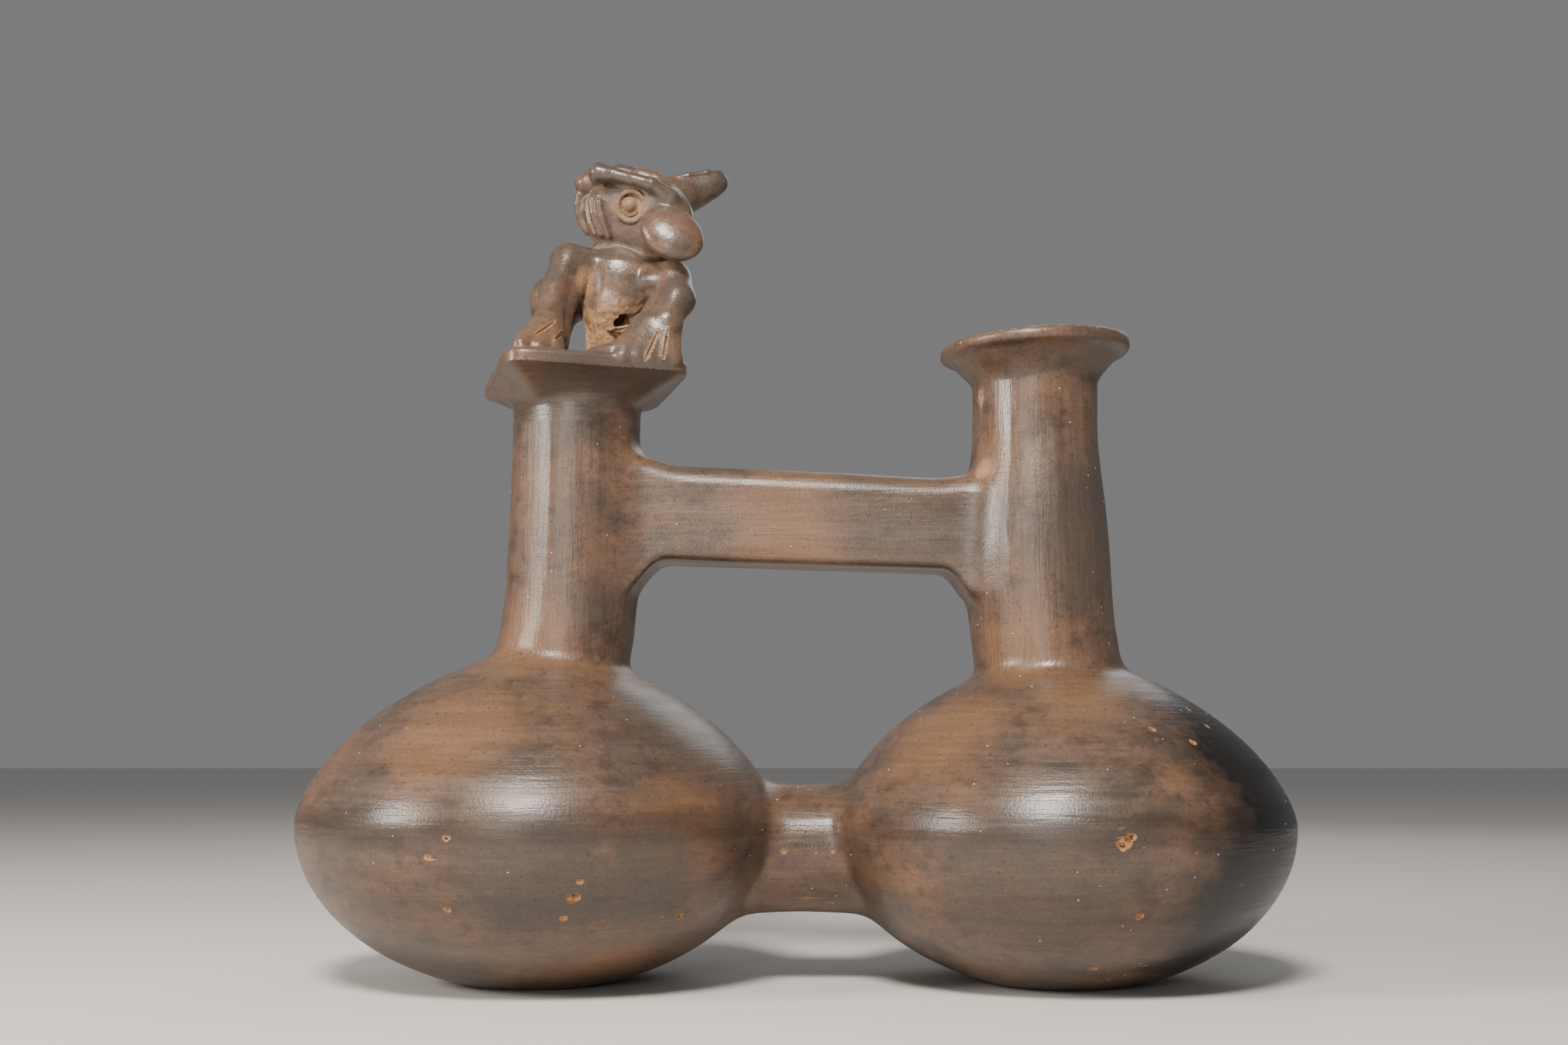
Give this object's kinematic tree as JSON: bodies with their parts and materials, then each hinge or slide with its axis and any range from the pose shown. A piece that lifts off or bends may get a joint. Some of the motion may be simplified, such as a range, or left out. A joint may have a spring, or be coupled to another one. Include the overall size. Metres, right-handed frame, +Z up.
{
  "type": "whistling vessel",
  "caption": "Double-chambered clay whistling bottle with an open neck, a connecting tube, a bar between the necks and a crouching big-eared animal on the closed neck.",
  "frame": {"origin": "on the floor under the middle of the vessel", "axes": "+X towards the chamber with the open neck, along the longest extent; +Y away from the side the animal's near eye faces; +Z up"},
  "size_m": [0.2398, 0.116, 0.2055],
  "materials": {
    "burnished_clay": "burnished brown low-fired clay, unglazed, with grey and black fire clouds"
  },
  "bodies": {
    "root": {"vessel": "burnished_clay"}
  },
  "joints": []
}
